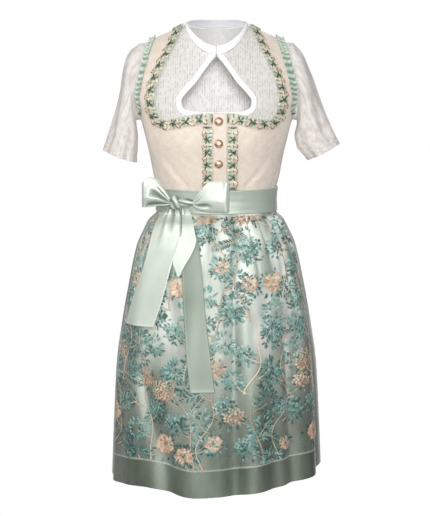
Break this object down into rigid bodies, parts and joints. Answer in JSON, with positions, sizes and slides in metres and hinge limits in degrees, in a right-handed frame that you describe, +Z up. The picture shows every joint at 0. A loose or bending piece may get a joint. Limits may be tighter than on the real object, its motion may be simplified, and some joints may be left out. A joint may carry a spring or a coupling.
{
  "type": "dirndl dress",
  "caption": "Knee-length folk dress: lace blouse, cream buttoned bodice, gathered satin skirt, sheer embroidered apron and a satin sash tied in a bow, worn shape with no wearer",
  "frame": {"origin": "midway between the shoulders, where the straps rest on the wearer", "axes": "+Z up; -Y the front; +X the wearer's left"},
  "size_m": [0.5187, 0.4027, 1.0259],
  "materials": {
    "lace": "sheer white floral lace",
    "white_cotton": "smooth white cotton",
    "cream_cloth": "woven cream cloth, matt",
    "mint_ribbon": "pleated mint satin ribbon",
    "braid_ribbon": "plaited ribbon and cord trim",
    "sage_satin": "sage satin",
    "sash_satin": "pale sage satin, soft sheen",
    "sheer_cloth": "sheer embroidered organza",
    "brass": "rose brass, softly polished"
  },
  "bodies": {
    "root": {"blouse_front_left": "lace", "blouse_front_right": "lace", "blouse_back": "lace", "sleeve_left": "lace", "sleeve_right": "lace", "sleeve_hem_left": "lace", "sleeve_hem_right": "lace", "blouse_collar": "white_cotton", "keyhole_binding_left": "white_cotton", "keyhole_binding_right": "white_cotton", "bodice_front_left": "cream_cloth", "bodice_front_right": "cream_cloth", "bodice_back": "cream_cloth", "button_placket": "cream_cloth", "armhole_ruffle_left": "mint_ribbon", "armhole_ruffle_right": "mint_ribbon", "neck_braid_left": "braid_ribbon", "neck_braid_right": "braid_ribbon", "neck_braid_back": "braid_ribbon", "placket_braid_left": "braid_ribbon", "placket_braid_right": "braid_ribbon", "skirt_front": "sage_satin", "skirt_back": "sage_satin", "sash_band": "sash_satin", "bow_knot": "sash_satin", "bow_wrap": "sash_satin", "bow_loop_outer": "sash_satin", "bow_loop_inner": "sash_satin", "bow_tail_outer": "sash_satin", "bow_tail_inner": "sash_satin", "apron_panel": "sheer_cloth", "button_1": "brass", "button_2": "brass", "button_3": "brass"}
  },
  "joints": []
}
